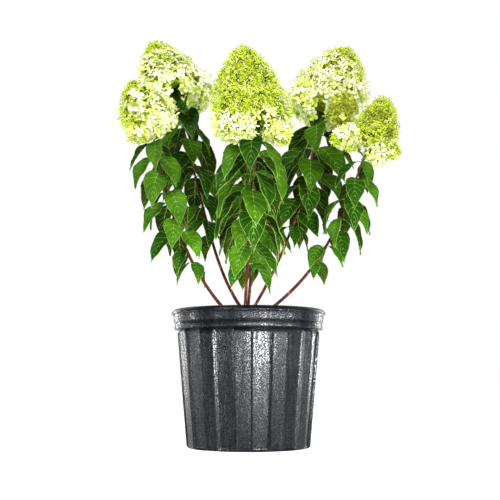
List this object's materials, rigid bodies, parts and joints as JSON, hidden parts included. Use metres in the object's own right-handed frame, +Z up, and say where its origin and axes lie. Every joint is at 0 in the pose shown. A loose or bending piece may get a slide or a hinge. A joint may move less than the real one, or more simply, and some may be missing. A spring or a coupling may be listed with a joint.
{
  "type": "potted panicle hydrangea",
  "caption": "Young panicle hydrangea shrub with leafy arching stems and cone-shaped cream and lime flower heads, in a fluted black nursery pot.",
  "frame": {"origin": "middle of the pot's flat underside", "axes": "+Z up through the plant, -Y towards the front of the plant, +X to its right as seen from the front"},
  "size_m": [0.5112, 0.373, 0.7786],
  "materials": {
    "pot": "satin moulded plastic with a fine mottled skin",
    "soil": "loose dark potting mix with pale grains",
    "bark": "reddish brown young bark with pale streaks",
    "leaf": "deep green quilted leaf with pale veins and a soft gloss",
    "blossom": "cream petals and lime green buds"
  },
  "bodies": {
    "root": {"pot": "pot", "soil": "soil", "crown": "bark", "stem_middle": "bark", "foliage_middle": "leaf", "panicle_middle": "blossom", "stem_outer_left": "bark", "foliage_outer_left": "leaf", "panicle_outer_left": "blossom", "stem_outer_right": "bark", "foliage_outer_right": "leaf", "panicle_outer_right": "blossom", "stem_inner_left": "bark", "foliage_inner_left": "leaf", "panicle_inner_left": "blossom", "stem_inner_right": "bark", "foliage_inner_right": "leaf", "panicle_inner_right": "blossom", "stem_rear": "bark", "foliage_rear": "leaf", "panicle_rear": "blossom"}
  },
  "joints": []
}
